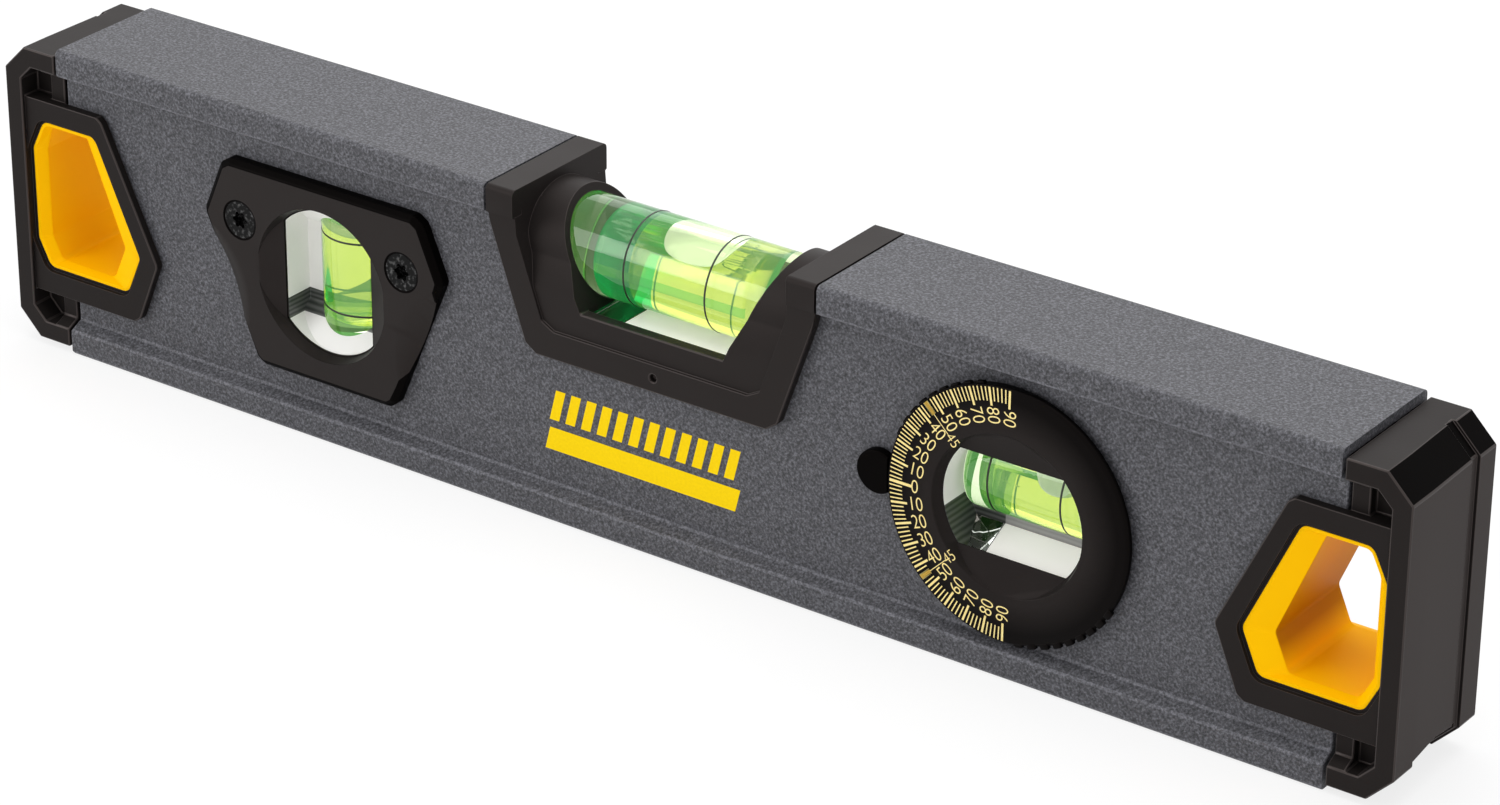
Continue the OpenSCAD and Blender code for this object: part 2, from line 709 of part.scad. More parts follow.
module angle_block() {
    color("lightcyan") intersection() {
        wedge(-wedge_left, -wedge_split - seat_fit);
        translate([dial_x, 0, dial_z]) rod_y(window_radius - seat_fit, -flange_y, flange_y);
    }
}

beam();
right_cap_front();
right_cap_rear();
left_cap_front();
left_cap_rear();
right_sleeve();
left_sleeve();
level_housing();
level_vial();
level_liquid();
level_rings();
level_plug();
level_strip();
level_block();
plumb_bezel_front();
plumb_bezel_rear();
plumb_screws();
plumb_carrier();
plumb_vial();
plumb_liquid();
plumb_rings();
plumb_plug();
dial_bush();
dial_pointers();
dial_face_front();
dial_face_rear();
dial_carrier();
angle_vial();
angle_liquid();
angle_rings();
angle_plug();
angle_strip();
angle_block();
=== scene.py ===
import heapq
import math

import bmesh
import bpy
from mathutils import Matrix, Vector


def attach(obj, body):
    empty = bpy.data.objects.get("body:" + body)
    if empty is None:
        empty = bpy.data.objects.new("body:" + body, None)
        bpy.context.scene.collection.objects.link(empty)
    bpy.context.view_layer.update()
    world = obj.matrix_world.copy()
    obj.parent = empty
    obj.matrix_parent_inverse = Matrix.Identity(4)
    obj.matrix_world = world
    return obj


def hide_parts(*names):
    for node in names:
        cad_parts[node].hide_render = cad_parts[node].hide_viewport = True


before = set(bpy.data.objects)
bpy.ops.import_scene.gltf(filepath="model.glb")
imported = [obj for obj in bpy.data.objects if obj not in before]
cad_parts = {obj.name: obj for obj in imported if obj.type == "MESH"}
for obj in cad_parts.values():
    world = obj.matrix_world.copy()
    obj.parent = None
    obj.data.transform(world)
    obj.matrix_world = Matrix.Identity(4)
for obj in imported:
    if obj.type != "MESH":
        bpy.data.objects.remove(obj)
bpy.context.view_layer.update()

# Camera: the level is seen from the right end, from above and in front, through a long lens.
# Its place and turn come from the box of the beam, whose edges give the photograph's perspective.
MM = 0.001
CAMERA_RIGHT = (0.811085, 0.584894, 0.006307)
CAMERA_UP = (-0.265037, 0.357877, 0.895366)
CAMERA_BACK = (0.521437, -0.727889, 0.445287)
CAMERA_PLACE = (397.33 * MM, -540.31 * MM, 354.14 * MM)


def new_object(name, data):
    made = bpy.data.objects.new(name, data)
    bpy.context.scene.collection.objects.link(made)
    return made


camera_data = bpy.data.cameras.new("camera")
camera_data.sensor_width = 36.0
camera_data.lens = 122.2
camera_data.clip_start = 0.01
camera = new_object("camera", camera_data)
camera_turn = Matrix((CAMERA_RIGHT, CAMERA_UP, CAMERA_BACK)).transposed().to_4x4()
camera.matrix_world = Matrix.Translation(CAMERA_PLACE) @ camera_turn
bpy.context.scene.camera = camera
bpy.context.scene.view_settings.view_transform = "Standard"


# Studio: a pale sweep of light all round, a soft lamp overhead, and weaker ones in front and behind.
# What the lens, a gloss or a clear piece sees of the surroundings is plain white.
class Value:
    """A socket of a node tree. Arithmetic on it adds the nodes that work it out."""

    def __init__(self, tree, socket):
        self.tree = tree
        self.socket = socket

    def node(self, kind, settings, inputs, out=0):
        """Adds a node and gives its output, or the node itself where out is None. Colours are triples."""
        made = self.tree.nodes.new("ShaderNode" + kind)
        for name, setting in settings.items():
            if name == "stops":
                ramp = made.color_ramp
                while len(ramp.elements) < len(setting):
                    ramp.elements.new(1.0)
                for stop, (place, shade) in zip(ramp.elements, setting):
                    stop.position = place
                    stop.color = (shade, shade, shade, 1.0)
            else:
                setattr(made, name, setting)
        for name, value in inputs.items():
            socket = made.inputs[name]
            if isinstance(value, Value):
                self.tree.links.new(value.socket, socket)
            elif socket.type == "RGBA":
                socket.default_value = (*value, 1.0)
            else:
                socket.default_value = value
        return made if out is None else Value(self.tree, made.outputs[out])

    def maths(self, operation, first, second=0.0):
        return self.node("Math", {"operation": operation}, {0: first, 1: second})

    def __add__(self, other):
        return self.maths("ADD", self, other)

    def __radd__(self, other):
        return self.maths("ADD", other, self)

    def __sub__(self, other):
        return self.maths("SUBTRACT", self, other)

    def __rsub__(self, other):
        return self.maths("SUBTRACT", other, self)

    def __mul__(self, other):
        return self.maths("MULTIPLY", self, other)

    def __rmul__(self, other):
        return self.maths("MULTIPLY", other, self)

    def __pow__(self, other):
        return self.maths("POWER", self, other)

    def __gt__(self, other):
        return self.maths("GREATER_THAN", self, other)

    def __lt__(self, other):
        return self.maths("LESS_THAN", self, other)

    def __or__(self, other):
        """The larger of the two, which joins two masks."""
        return self.maths("MAXIMUM", self, other)

    def __abs__(self):
        return self.maths("ABSOLUTE", self)

    def sine(self):
        return self.maths("SINE", self)

    def axis(self, name):
        return self.node("SeparateXYZ", {}, {0: self}, name)

    def ramp(self, low, high):
        """0 where the value is at low or beyond it, 1 at high or beyond it, and even between them."""
        return self.node("MapRange", {"clamp": True}, {"Value": self, "From Min": low, "From Max": high})

    def blend(self, first, second):
        """The first colour where the value is 0, and the second where it is 1."""
        return self.node("Mix", {"data_type": "RGBA"}, {"Factor": self, 6: first, 7: second}, 2)

    def noise(self, scale, detail=2.0, roughness=0.5):
        return self.node("TexNoise", {}, {"Vector": self, "Scale": scale, "Detail": detail,
                                          "Roughness": roughness})

    def bump(self, strength, distance):
        return self.node("Bump", {}, {"Strength": strength, "Distance": distance, "Height": self})


WHITE = (1.0, 1.0, 1.0)
BLACK = (0.0, 0.0, 0.0)
SURROUND = (0.62, 0.62, 0.63)
PAPER = (0.92, 0.92, 0.92)


def rays_that_see_white(tree):
    """1 for the rays from the lens, from a gloss or through a clear piece, else 0."""
    path = tree.nodes.new("ShaderNodeLightPath")
    lens, gloss, clear = [
        Value(tree, path.outputs[name]) for name in ("Is Camera Ray", "Is Glossy Ray", "Is Transmission Ray")]
    return lens | gloss | clear


world = bpy.data.worlds.new("studio")
bpy.context.scene.world = world
world.use_nodes = True
world.node_tree.nodes.clear()
seen = rays_that_see_white(world.node_tree)
surround = seen.node("Background", {}, {"Color": seen.blend(SURROUND, WHITE), "Strength": 1.0})
seen.node("OutputWorld", {}, {"Surface": surround}, None)

LAMP_AIM = Vector((0, 0, 30 * MM))


def soft_lamp(name, place, size, power):
    """A rectangular lamp that is turned to the middle of the level."""
    data = bpy.data.lights.new(name, "AREA")
    data.shape = "RECTANGLE"
    data.size, data.size_y = size
    data.energy = power
    lamp = new_object(name, data)
    lamp.location = place
    lamp.rotation_euler = (Vector(place) - LAMP_AIM).to_track_quat("Z", "Y").to_euler()


soft_lamp("lamp_above", (0.05, 0.05, 0.9), (0.9, 0.7), 6.0)
soft_lamp("lamp_front", (-0.7, -0.75, 0.45), (0.6, 0.6), 3.5)
soft_lamp("lamp_behind", (-0.55, 0.8, 0.55), (1.0, 0.5), 2.0)


def new_material(name):
    """An empty material, and the Object coordinates that its nodes start from."""
    material = bpy.data.materials.new(name)
    material.use_nodes = True
    material.node_tree.nodes.clear()
    coordinates = material.node_tree.nodes.new("ShaderNodeTexCoord")
    return material, Value(material.node_tree, coordinates.outputs["Object"])


def finish_material(place, sockets, volume=None):
    """A Principled shader with these sockets, and the material's output."""
    ends = {"Surface": place.node("BsdfPrincipled", {}, sockets)}
    if volume:
        ends["Volume"] = volume
    place.node("OutputMaterial", {}, ends, None)


FLOOR_SIZE = 8.0
FLOOR_SHADOW = 0.2
bpy.ops.mesh.primitive_plane_add(size=FLOOR_SIZE, location=(0, 0, 0))
floor = bpy.context.active_object
floor.name = "studio_floor"
paper, place = new_material("white_paper")
seen = rays_that_see_white(paper.node_tree)
lit = place.node("BsdfDiffuse", {}, {"Color": PAPER})
glow = place.node("Emission", {}, {"Color": WHITE, "Strength": 1.0})
mixed = place.node("MixShader", {}, {0: seen * (1 - FLOOR_SHADOW), 1: lit, 2: glow})
place.node("OutputMaterial", {}, {"Surface": mixed}, None)
floor.data.materials.append(paper)

# Beam: an extruded aluminium box with a pipe groove, in a fine textured dark grey powder coat.
# It is cut for the three vials and for the sleeves, and the coat is pale along its edges, partly from wear
# and partly as a painted highlight.
WELD = 0.002 * MM
FLAT = math.radians(1)
ROOM_SHARE = 0.25
ACROSS = 0.25
STRAIGHT_ON = 0.9


def hold(piece):
    """Makes the piece the one that the next operators act on."""
    bpy.ops.object.select_all(action="DESELECT")
    piece.select_set(True)
    bpy.context.view_layer.objects.active = piece


def take_shape(name, node):
    """A new piece with a node's shape, its loose triangles merged into whole faces."""
    piece = new_object(name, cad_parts[node].data.copy())
    hold(piece)
    bpy.ops.object.mode_set(mode="EDIT")
    bpy.ops.mesh.select_all(action="SELECT")
    bpy.ops.mesh.remove_doubles(threshold=WELD)
    bpy.ops.mesh.dissolve_limited(angle_limit=FLAT)
    bpy.ops.object.mode_set(mode="OBJECT")
    return piece


def give(piece, *materials):
    piece.data.materials.clear()
    for material in materials:
        piece.data.materials.append(material)


def direction(edge):
    return (edge.verts[1].co - edge.verts[0].co).normalized()


def room_beside(edge):
    """How far the faces beside an edge reach from it, at its ends. Legs that go on with it don't count."""
    along = direction(edge)
    room = math.inf
    for corner in edge.link_loops:
        for leg in (corner.link_loop_prev.edge, corner.link_loop_next.edge):
            span = leg.verts[1].co - leg.verts[0].co
            reach = span.cross(along).length
            if reach > ACROSS * span.length:
                room = min(room, reach)
    return room


def find_reaches(shape, radius, sharpest, share):
    """How far to round each sharp edge. Edges in a run that is nearly straight all get its least reach."""
    reaches = {}
    for edge in shape.edges:
        if len(edge.link_faces) == 2 and edge.calc_face_angle() > math.radians(sharpest):
            middle = (edge.verts[0].co + edge.verts[1].co) / 2
            wanted = radius * share(middle) if share else radius
            if wanted > 0:
                reaches[edge.index] = min(wanted, ROOM_SHARE * room_beside(edge))
    waiting = [(reach, index) for index, reach in reaches.items()]
    heapq.heapify(waiting)
    while waiting:
        reach, index = heapq.heappop(waiting)
        if reach > reaches[index]:
            continue
        along = direction(shape.edges[index])
        for corner in shape.edges[index].verts:
            for other in corner.link_edges:
                straight_on = abs(direction(other).dot(along)) > STRAIGHT_ON
                if straight_on and reaches.get(other.index, 0) > reach:
                    reaches[other.index] = reach
                    heapq.heappush(waiting, (reach, other.index))
    return reaches


def bevel_by_weight(piece, radius, steps, material=-1):
    """Rounds each edge by its weight's share of the radius."""
    hold(piece)
    rounding = piece.modifiers.new("rounding", "BEVEL")
    rounding.width = radius
    rounding.segments = steps
    rounding.limit_method = "WEIGHT"
    rounding.use_clamp_overlap = False
    rounding.material = material
    bpy.ops.object.modifier_apply(modifier=rounding.name)


def soften(piece, radius, sharpest=28, paint_edges=False, steps=3, share=None, blend=35):
    """Rounds the piece's edges, as a mould or a coat does, and keeps its flats flat.

    The edges are those that turn by more than sharpest, in degrees. Where asked, the rounds take the second
    material, which is painted paler as a highlight on some pieces and darker as shade on others.
    share gives the part of the radius that an edge gets, from its middle. Narrow faces get less.
    """
    weights = piece.data.attributes.new("bevel_weight_edge", "FLOAT", "EDGE")
    shape = bmesh.new()
    shape.from_mesh(piece.data)
    shape.edges.ensure_lookup_table()
    for index, reach in find_reaches(shape, radius, sharpest, share).items():
        weights.data[index].value = reach / radius
    shape.free()
    bevel_by_weight(piece, radius, steps, 1 if paint_edges else -1)
    bpy.ops.object.shade_smooth_by_angle(angle=math.radians(blend))
    evening = piece.modifiers.new("evening", "WEIGHTED_NORMAL")
    evening.keep_sharp = True
    bpy.ops.object.modifier_apply(modifier=evening.name)


def place_piece(piece, slot, *nodes, body="body"):
    """The piece stands for these nodes and moves with their body. The slot is not used."""
    if nodes:
        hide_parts(*nodes)
    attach(piece, body)


def powder_coat(name, dark, mid, pale):
    """A speckled grey coat. Its grain is turned, so that no face lies along the noise's lattice."""
    material, place = new_material(name)
    turned = place.node("Mapping", {}, {"Vector": place, "Rotation": (0.5, 0.7, 0.3)})
    grain = turned.noise(2500.0, 3.0, 0.65)
    cloud = place.noise(60.0)
    tones = ((0.34, dark), (0.5, mid), (0.66, pale))
    shade = grain.node("ValToRGB", {"stops": tones}, {"Fac": grain})
    tinted = shade.node("Mix", {"data_type": "RGBA", "blend_type": "MULTIPLY"},
                        {"Factor": 1.0, 6: shade, 7: (0.95, 0.95, 1.06)}, 2)
    finish_material(place, {"Base Color": tinted, "Roughness": 0.5 + grain * 0.2, "Specular IOR Level": 0.35,
                            "Normal": (grain + cloud * 0.4).bump(0.35, 0.03 * MM)})
    return material


coat = powder_coat("grey_powder_coat", 0.026, 0.070, 0.150)
# The pale edge coat is partly wear and partly a painted highlight.
coat_edge = powder_coat("grey_coat_rubbed_highlit_edge", 0.05, 0.11, 0.20)
beam = take_shape("painted_beam", "beam")
give(beam, coat, coat_edge)
soften(beam, 0.3 * MM, paint_edges=True)
place_piece(beam, "grey_paint", "beam")

# Marking: a row of slanted yellow bars over a plain yellow band, screen printed on the web, front and rear.
# It is plain decoration, and the ink stands a hair proud of the coat.
MARK_LEFT = -20.0 * MM
BAND_HIGH = (10.8 * MM, 14.5 * MM)
BARS_HIGH = (15.8 * MM, 20.8 * MM)
BAR_COUNT = 12
BAR_STEP = 2.9 * MM
BAR_START = 0.35
BAR_WIDTH = 1.75 * MM
BAR_LEAN = math.radians(14)
WEB_Y = 9.2 * MM
INK = 0.03 * MM


def apply_place(piece):
    hold(piece)
    bpy.ops.object.transform_apply(location=True, rotation=True, scale=True)


def block(size, place=(0, 0, 0)):
    """A rectangular block with its middle at the place."""
    bpy.ops.mesh.primitive_cube_add(size=1, location=place, scale=size)
    piece = bpy.context.active_object
    apply_place(piece)
    return piece


def join(name, pieces):
    hold(pieces[0])
    for piece in pieces[1:]:
        piece.select_set(True)
    bpy.ops.object.join()
    pieces[0].name = name
    return pieces[0]


def stripe(left, right, low, high, side):
    """A printed patch on the web, whose ends lean with the bars."""
    piece = block((right - left, 2 * INK, high - low))
    lean = Matrix.Identity(4)
    lean[0][2] = math.tan(BAR_LEAN)
    middle = ((left + right) / 2, side * WEB_Y, (low + high) / 2)
    piece.data.transform(Matrix.Translation(middle) @ lean)
    return piece


ink, place = new_material("yellow_ink")
grain = place.noise(2500.0)
finish_material(place, {"Base Color": grain.blend((0.86, 0.58, 0.0), (1.0, 0.70, 0.0)), "Roughness": 0.5,
                        "Specular IOR Level": 0.08, "Normal": grain.bump(0.3, 0.03 * MM)})
stripes = []
for side in (-1, 1):
    stripes.append(stripe(MARK_LEFT, MARK_LEFT + BAR_COUNT * BAR_STEP, *BAND_HIGH, side))
    for index in range(BAR_COUNT):
        left = MARK_LEFT + (index + BAR_START) * BAR_STEP
        stripes.append(stripe(left, left + BAR_WIDTH, *BARS_HIGH, side))
marking = join("slanted_bars", stripes)
give(marking, ink)
place_piece(marking, "yellow_plastic")

# End caps: glass-filled black plastic, moulded in a front and a rear shell with a fine spark-eroded grain.
# The shells meet in a seam round the end, and handling has polished their edges, which are also painted paler
# as a highlight.
SEAM_Y = 6.0 * MM
SEAM_HALF = 0.9 * MM
SEAM_NEAR = 0.02 * MM
GROOVE_NEAR = 0.05 * MM
TOP_BEVEL_FROM = 46.0 * MM
END_FROM = 124.0 * MM
WARM = (1.0, 0.84, 0.8)
PITCH_BLACK = (0.0014, 0.0012, 0.0012)


def black_plastic(name, base, roughness, grain_size, gloss=0.16, shade_mask=None):
    """Black plastic with a fine grain. Where the given mask is 1 it is painted nearly pitch black, as shade.
    """
    material, place = new_material(name)
    grain = place.noise(1.0 / grain_size, 3.0)
    patches = place.noise(90.0)
    colour = patches.blend((0.85 * base, 0.7 * base, 0.66 * base), (1.3 * base, 1.12 * base, 1.06 * base))
    if shade_mask:
        colour = shade_mask(place).blend(colour, PITCH_BLACK)
    finish_material(place, {"Base Color": colour, "Roughness": roughness + patches * 0.12,
                            "Specular IOR Level": gloss, "Specular Tint": WARM,
                            "Normal": grain.bump(0.3, 0.03 * MM)})
    return material


def cap_edge_share(middle):
    """The joint is closed tight where the shells meet, and crisp along its groove."""
    off_seam = abs(middle.y - SEAM_Y)
    if off_seam < SEAM_NEAR:
        return 0.0
    if abs(off_seam - SEAM_HALF) < GROOVE_NEAR:
        return 0.5
    return 1.0


def repaint(piece, index, test):
    """Gives a later material to the broad faces whose middle and normal pass the test."""
    for face in piece.data.polygons:
        if face.material_index == 0 and test(face.center, face.normal):
            face.material_index = index


def on_top_bevel(centre, normal):
    return centre.z > TOP_BEVEL_FROM and normal.z > 0.5 and abs(normal.x) > 0.5


def on_end(centre, normal):
    return abs(centre.x) > END_FROM and abs(normal.x) > 0.9


cap_black = black_plastic("cap_black", 0.010, 0.45, 0.35 * MM, 0.12)
# The polished edges are also painted paler, as a highlight.
cap_edge = black_plastic("cap_polished_highlit_edge", 0.025, 0.3, 0.35 * MM, 0.35)
# The top bevels are painted near black, as shade.
cap_shaded_bevel = black_plastic("cap_bevel_painted_shade", 0.0015, 0.35, 0.35 * MM, 0.02)
# The ends are painted paler, as the sheen of light that they catch.
cap_lit_end = black_plastic("cap_end_painted_sheen", 0.034, 0.5, 0.35 * MM, 0.1)
for node in ("right_cap_front", "right_cap_rear", "left_cap_front", "left_cap_rear"):
    cap = take_shape(node + "_shell", node)
    give(cap, cap_black, cap_edge, cap_shaded_bevel, cap_lit_end)
    soften(cap, 0.25 * MM, paint_edges=True, share=cap_edge_share)
    repaint(cap, 2, on_top_bevel)
    repaint(cap, 3, on_end)
    place_piece(cap, "black_plastic", node)

# Hanging sleeves: bright yellow plastic tubes pressed through the caps, with a funnelled mouth.
# The tube is painted deeper in colour than the mouth, as shade, but not its floor and outer wall, which the
# light reaches.
TUBE_Y = 8.5 * MM
MOUTH_Y = 8.65 * MM
SHADE_X = 104.5 * MM
LIGHT_X = 117.0 * MM
SHADE_Z = 18.5 * MM
LIGHT_Z = 15.2 * MM
sleeve_yellow, place = new_material("sleeve_yellow")
grain = place.noise(1800.0)
mouth = abs(place.axis("Y")).ramp(TUBE_Y, MOUTH_Y)
outer_wall = abs(place.axis("X")).ramp(SHADE_X, LIGHT_X)
tube_floor = place.axis("Z").ramp(SHADE_Z, LIGHT_Z)
# Painted shade and light: the tube is dark inside, and bright on its floor and outer wall.
tube_painted_shade = (outer_wall | tube_floor).blend((0.46, 0.19, 0.0), (1.0, 0.53, 0.0))
finish_material(place, {"Base Color": mouth.blend(tube_painted_shade, (1.0, 0.54, 0.0)),
                        "Roughness": 0.45 + grain * 0.08, "Specular IOR Level": 0.03,
                        "Normal": grain.bump(0.2, 0.02 * MM)})
for side in ("right", "left"):
    sleeve = take_shape(side + "_hanging_tube", side + "_sleeve")
    give(sleeve, sleeve_yellow)
    soften(sleeve, 0.14 * MM, blend=18)
    place_piece(sleeve, "yellow_plastic", side + "_sleeve")

# Level housing: matte black plastic, snapped into the notch in the beam's top and hooked over its edges.
# A boss at each end holds the vial, and its front and rear walls are cut low to show it.
HOOK_FROM = 26.5 * MM
HOOK_UNDER = 48.0 * MM


def holder_edge_share(middle):
    """The undersides of the hooks lie on the beam, and their edges are sharp."""
    return 0.0 if abs(middle.x) > HOOK_FROM and middle.z < HOOK_UNDER else 1.0


housing_black = black_plastic("housing_black", 0.011, 0.46, 0.3 * MM, 0.16)
# The polished edges are also painted paler, as a highlight.
housing_edge = black_plastic("housing_polished_highlit_edge", 0.02, 0.32, 0.3 * MM, 0.35)
housing = take_shape("level_holder", "level_housing")
give(housing, housing_black, housing_edge)
soften(housing, 0.25 * MM, paint_edges=True, share=holder_edge_share)
place_piece(housing, "black_plastic", "level_housing")

# Vials: barrels of clear acrylic, bored out and plugged, with two black rings round each.
# The lime liquid wets the whole bore, so wall and liquid bend the light as one.
WALL = 1.7 * MM
WETTING = 0.02 * MM
BARREL_RIM = 0.35 * MM
BORE_RIM = 0.6 * MM
RING_WIDTH = 0.34 * MM
RING_DEPTH = 0.14 * MM
SQUARENESS = 4
AXIS_TURNS = {"X": (0, math.pi / 2, 0), "Y": (math.pi / 2, 0, 0), "Z": (0, 0, 0)}
AXIS_WAYS = {"X": Vector((1, 0, 0)), "Z": Vector((0, 0, 1))}
LIQUID_SHADE_LEVEL = (-13.6 * MM, -7.0 * MM)
LIQUID_SHADE_PLUMB = -66.4 * MM
LIQUID_SHADE_ANGLE = (53.8 * MM, 56.4 * MM)
STRIPE_HIGH = (40.5 * MM, 41.9 * MM)
STRIPE_Y = -5.0 * MM


def bar(name, radius, half, centre, axis, rim=0.0, sides=128):
    """A round bar along an axis, with its two rims rounded."""
    bpy.ops.mesh.primitive_cylinder_add(vertices=sides, radius=radius, depth=2 * half, location=centre,
                                        rotation=AXIS_TURNS[axis])
    piece = bpy.context.active_object
    piece.name = name
    apply_place(piece)
    if rim:
        soften(piece, rim, sharpest=40, steps=5)
    return piece


def combine(piece, tool, operation="DIFFERENCE"):
    """Cuts the tool out of the piece or, with UNION, adds it. The tool is used up."""
    hold(piece)
    step = piece.modifiers.new("step", "BOOLEAN")
    step.operation = operation
    step.solver = "EXACT"
    step.object = tool
    bpy.ops.object.modifier_apply(modifier=step.name)
    bpy.data.objects.remove(tool)


def smooth(piece, angle=35):
    hold(piece)
    bpy.ops.object.shade_smooth_by_angle(angle=math.radians(angle))


def clear_plastic(name, dark, light, glow):
    """Clear acrylic. The glow is painted light, for the light that it pipes from the liquid to its ends and
    edges.
    """
    material, place = new_material(name)
    flow = place.noise(150.0, 1.0)
    finish_material(place, {"Base Color": flow.blend(dark, light), "Roughness": 0.02, "IOR": 1.49,
                            "Transmission Weight": 1.0, "Normal": flow.bump(0.04, 0.02 * MM),
                            "Emission Color": glow, "Emission Strength": 1.0})
    return material


def between(value, limits):
    return (value > limits[0]) * (value < limits[1])


def deep_liquid(place):
    """1 at the left end of the level vial, and down the left side of the plumb vial, where the liquid is
    painted darker teal as shade.
    """
    across = place.axis("X")
    return between(across, LIQUID_SHADE_LEVEL) | (across < LIQUID_SHADE_PLUMB)


def olive_liquid(place):
    """1 at the left end of the angle vial, where the liquid is painted olive as shade."""
    return between(place.axis("X"), LIQUID_SHADE_ANGLE)


def green_stripe(place):
    """1 along the front of the level vial's bore, where the housing's rim shows in the liquid as a painted
    reflection.
    """
    return between(place.axis("Z"), STRIPE_HIGH) * (place.axis("Y") < STRIPE_Y)


acrylic = clear_plastic("clear_acrylic", (0.93, 1.0, 0.90), (0.97, 1.0, 0.95), BLACK)
barrel_acrylic = clear_plastic("barrel_acrylic", (0.86, 0.96, 0.66), (0.92, 0.99, 0.74),
                               (0.015, 0.045, 0.008))
lime, place = new_material("lime_liquid")
flow = place.noise(80.0, 1.0)
colour = flow.blend((0.76, 0.62, 0.34), (0.80, 0.65, 0.38))
# The liquid is painted darker teal at the level vial's left end and down the plumb vial's left side, and
# olive at the angle vial's left end, as shade; along the level vial's front it has a painted reflection of
# the housing's rim.
colour = deep_liquid(place).blend(colour, (0.0, 0.22, 0.15))
colour = green_stripe(place).blend(colour, (0.20, 0.42, 0.16))
colour = olive_liquid(place).blend(colour, (0.12, 0.18, 0.06))
# The liquid's emission is a painted glow, lower where it is painted as shade.
glow = flow.blend((0.012, 0.065, 0.02), (0.015, 0.08, 0.026))
glow = deep_liquid(place).blend(glow, (0.0, 0.06, 0.03))
tint = place.node("VolumeAbsorption", {}, {"Color": (0.92, 0.93, 0.42), "Density": 110.0})
finish_material(place, {"Base Color": colour, "Roughness": 0.0, "IOR": 1.45, "Transmission Weight": 1.0,
                        "Emission Color": glow, "Emission Strength": 1.0}, tint)
# The bubble's white is a painted reflection of the bright surroundings, with a painted glow.
bubble_painted_reflection, place = new_material("bubble_painted_reflection")
flow = place.noise(120.0, 1.0)
finish_material(place, {"Base Color": flow.blend((0.45, 0.45, 0.44), (0.60, 0.60, 0.58)), "Roughness": 0.12,
                        "Emission Color": flow.blend((0.14, 0.13, 0.15), (0.22, 0.21, 0.23)),
                        "Emission Strength": 1.0})
ring_black, place = new_material("ring_black")
finish_material(place, {"Base Color": place.noise(900.0).blend((0.004, 0.006, 0.002), (0.012, 0.018, 0.006)),
                        "Roughness": 0.4})


def air_bubble(place, size):
    """A bubble with a flat underside, round in outline, which the bore's top cuts off."""
    bpy.ops.mesh.primitive_uv_sphere_add(segments=96, ring_count=48, radius=1.0)
    bubble = bpy.context.active_object
    for corner in bubble.data.vertices:
        around = math.hypot(corner.co.x, corner.co.y)
        corner.co /= (around ** SQUARENESS + abs(corner.co.z) ** SQUARENESS) ** (1 / SQUARENESS)
    bubble.location = place
    bubble.scale = size
    apply_place(bubble)
    return bubble


def ring(place, axis, radius):
    """A thin flat band round a barrel."""
    bpy.ops.mesh.primitive_torus_add(major_radius=radius, minor_radius=RING_DEPTH / 2, major_segments=128,
                                     minor_segments=8, location=place, rotation=AXIS_TURNS[axis])
    piece = bpy.context.active_object
    piece.scale = (1, 1, RING_WIDTH / RING_DEPTH)
    apply_place(piece)
    return piece


def make_vial(name, centre, axis, radius, half, chamber, gap, bubble_place, bubble_size, body="body"):
    """A vial with its liquid and rings, and a bubble against the top of its bore."""
    barrel = bar(name + "_barrel", radius, half, centre, axis, BARREL_RIM)
    combine(barrel, bar("bore", radius - WALL, chamber, centre, axis, BORE_RIM))
    smooth(barrel)
    give(barrel, barrel_acrylic)
    place_piece(barrel, "clear_acrylic", name + "_vial", name + "_plug", body=body)
    filling = bar(name + "_filling", radius - WALL + WETTING, chamber + WETTING, centre, axis, BORE_RIM)
    bubble = air_bubble(bubble_place, bubble_size)
    for piece in (filling, bubble):
        give(piece, lime, bubble_painted_reflection)
    for face in bubble.data.polygons:
        face.material_index = 1
    combine(filling, bubble)
    smooth(filling)
    place_piece(filling, "lime_liquid", name + "_liquid", body=body)
    places = [Vector(centre) + side * AXIS_WAYS[axis] * gap / 2 for side in (-1, 1)]
    rings = join(name + "_ring_pair", [ring(place, axis, radius) for place in places])
    smooth(rings, 60)
    give(rings, ring_black)
    place_piece(rings, "ring_black", name + "_rings", body=body)


LEVEL_AXIS = 41.8 * MM
LEVEL_RADIUS = 7.3 * MM
LEVEL_HALF = 19.8 * MM
LEVEL_CHAMBER = 13.6 * MM
LEVEL_RING_GAP = 14.6 * MM
make_vial("level", (0, 0, LEVEL_AXIS), "X", LEVEL_RADIUS, LEVEL_HALF, LEVEL_CHAMBER, LEVEL_RING_GAP,
          (2.6 * MM, 0, LEVEL_AXIS + LEVEL_RADIUS - WALL), (6.1 * MM, 6.2 * MM, 2.3 * MM))
VIAL_RADIUS = 7.0 * MM
VIAL_HALF = 10.2 * MM
VIAL_CHAMBER = 8.2 * MM
RING_GAP = 12.1 * MM
PLUMB = Vector((-61.6 * MM, 0, 26.3 * MM))
make_vial("plumb", PLUMB, "Z", VIAL_RADIUS, VIAL_HALF, VIAL_CHAMBER, RING_GAP,
          PLUMB + Vector((0, 0, VIAL_CHAMBER)), (4.9 * MM, 4.9 * MM, 2.4 * MM))
DIAL = Vector((62.2 * MM, 0, 25.7 * MM))
ANGLE_AXIS = DIAL + Vector((0, 0, 1.7 * MM))
make_vial("angle", ANGLE_AXIS, "X", VIAL_RADIUS, VIAL_HALF, VIAL_CHAMBER, RING_GAP,
          ANGLE_AXIS + Vector((4.2 * MM, 0, VIAL_RADIUS - WALL)), (4.7 * MM, 6.6 * MM, 5.4 * MM), "dial")

